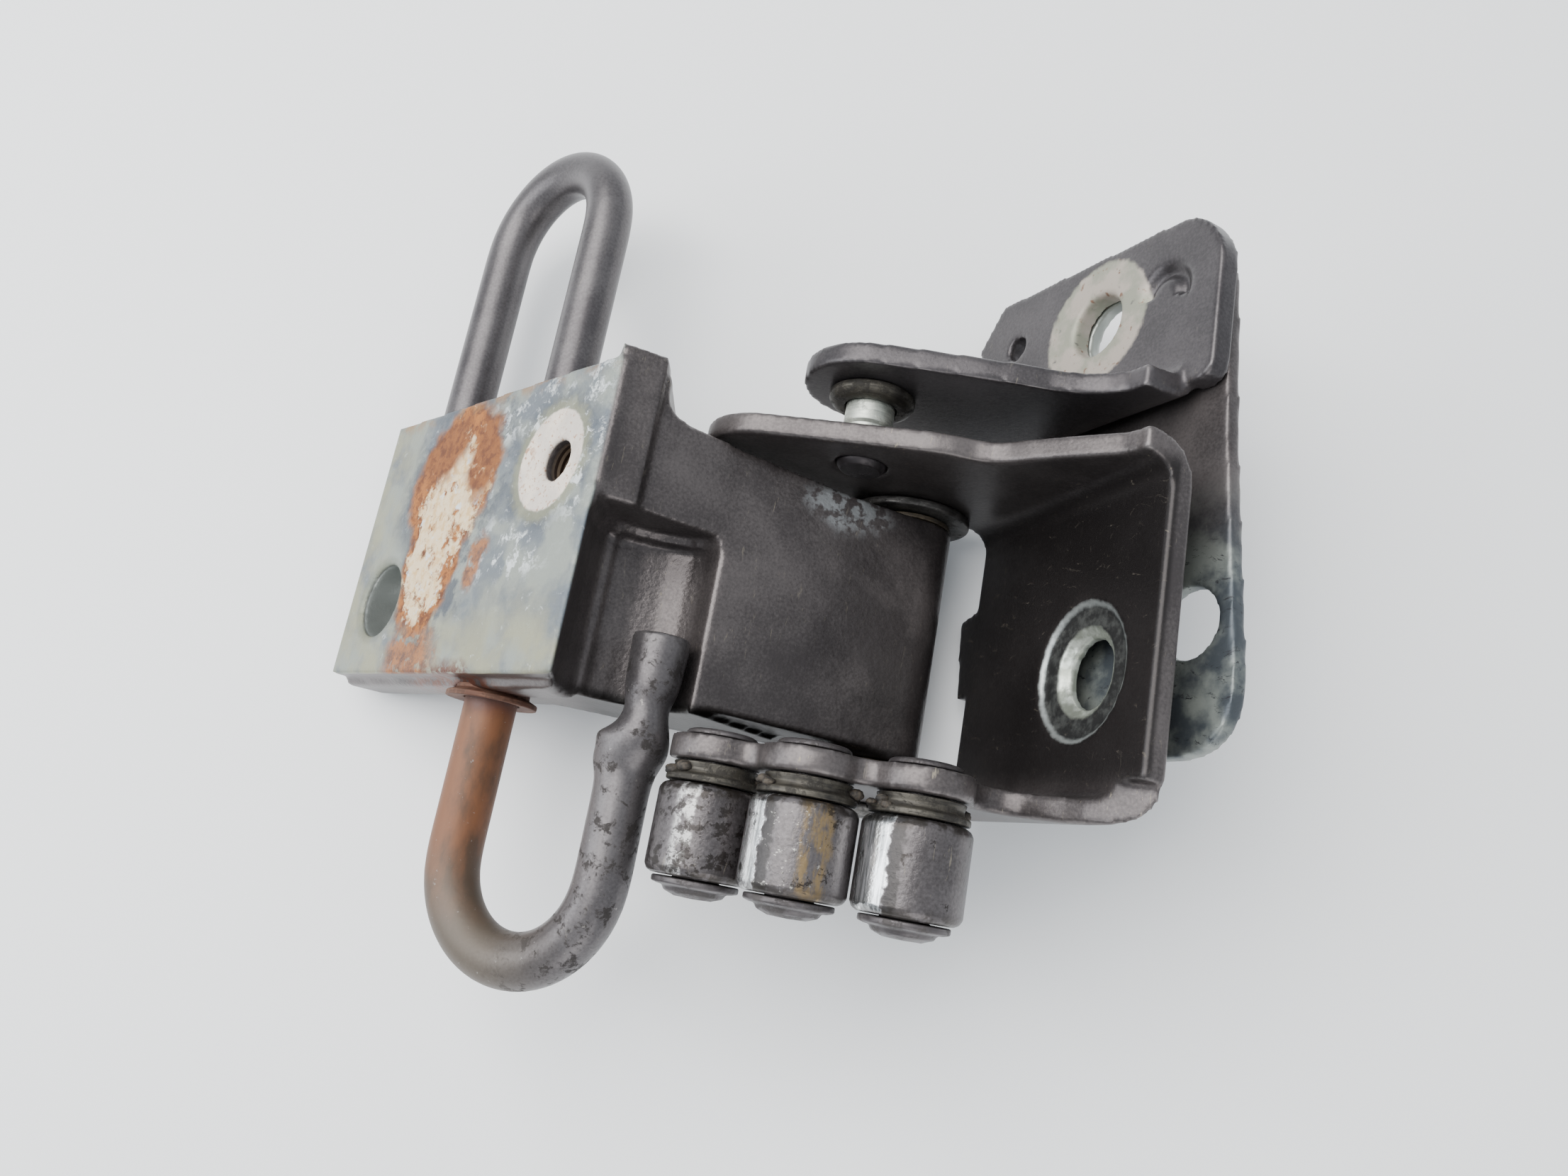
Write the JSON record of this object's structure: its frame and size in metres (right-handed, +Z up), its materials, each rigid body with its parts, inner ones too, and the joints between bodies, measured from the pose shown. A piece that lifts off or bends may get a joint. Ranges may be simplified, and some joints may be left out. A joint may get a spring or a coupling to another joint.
{
  "type": "door hinge",
  "caption": "Car door hinge with a built-in door check: cast pillar leaf, torsion rod, swinging bracket with rollers and a door leaf with a plate behind it",
  "frame": {"origin": "Centre of the bounding box in X and Y, at its lowest point in Z. The hinge lies on its side on z = 0.", "axes": "Metres, +Z up. +X runs from the pillar leaf to the door leaf. +Y runs along the hinge pin, from the rollers to the torsion rod's hairpin."},
  "size_m": [0.1767, 0.1746, 0.0655],
  "materials": {
    "cast_paint": "semi-gloss paint over cast iron, with a bare zinc mounting face",
    "rod_paint": "semi-gloss, rusty below the foot",
    "clip_steel": "rusty",
    "pin_steel": "worn",
    "bush_bronze": "dull",
    "washer_steel": "greasy",
    "bracket_paint": "semi-gloss",
    "roller_steel": "painted, worn bright where the rod rubs",
    "collar_steel": "greasy",
    "rivet_paint": "semi-gloss",
    "locator_zinc": "zinc plated",
    "plate_zinc": "zinc plated and mottled"
  },
  "bodies": {
    "pillar": {"pillar_leaf": "cast_paint", "torsion_rod": "rod_paint", "rod_clip": "clip_steel", "upper_bush": "bush_bronze", "lower_bush": "bush_bronze"},
    "swing": {"roller_bracket": "bracket_paint", "hinge_pin": "pin_steel", "upper_thrust_washer": "washer_steel", "lower_thrust_washer": "washer_steel", "locating_pin": "locator_zinc", "roller_collar_1": "collar_steel", "roller_rivet_1": "rivet_paint", "roller_collar_2": "collar_steel", "roller_rivet_2": "rivet_paint", "roller_collar_3": "collar_steel", "roller_rivet_3": "rivet_paint"},
    "roller_one": {"roller_1": "roller_steel"},
    "roller_two": {"roller_2": "roller_steel"},
    "roller_three": {"roller_3": "roller_steel"},
    "door": {"door_bracket": "bracket_paint", "door_plate": "plate_zinc", "locating_collar": "collar_steel"}
  },
  "joints": [
    {"name": "hinge_swing", "type": "hinge", "parent": "pillar", "child": "swing", "pos_m": [0.02946, -0.01123, 0.01619], "axis": [0, -1, 0], "range_deg": [0, 57.25], "deforming": ["torsion_rod"]},
    {"name": "door_turn", "type": "hinge", "parent": "swing", "child": "door", "pos_m": [0.02, 0.02477, 0.03993], "axis": [0, 1, 0], "range_deg": [-8, 5]},
    {"name": "roller_1_spin", "type": "hinge", "parent": "swing", "child": "roller_one", "pos_m": [0.0053, -0.05523, 0.04807], "axis": [0, 1, 0], "continuous": true},
    {"name": "roller_2_spin", "type": "hinge", "parent": "swing", "child": "roller_two", "pos_m": [0.02207, -0.05523, 0.0555], "axis": [0, 1, 0], "continuous": true},
    {"name": "roller_3_spin", "type": "hinge", "parent": "swing", "child": "roller_three", "pos_m": [0.04038, -0.05523, 0.05467], "axis": [0, 1, 0], "continuous": true}
  ]
}
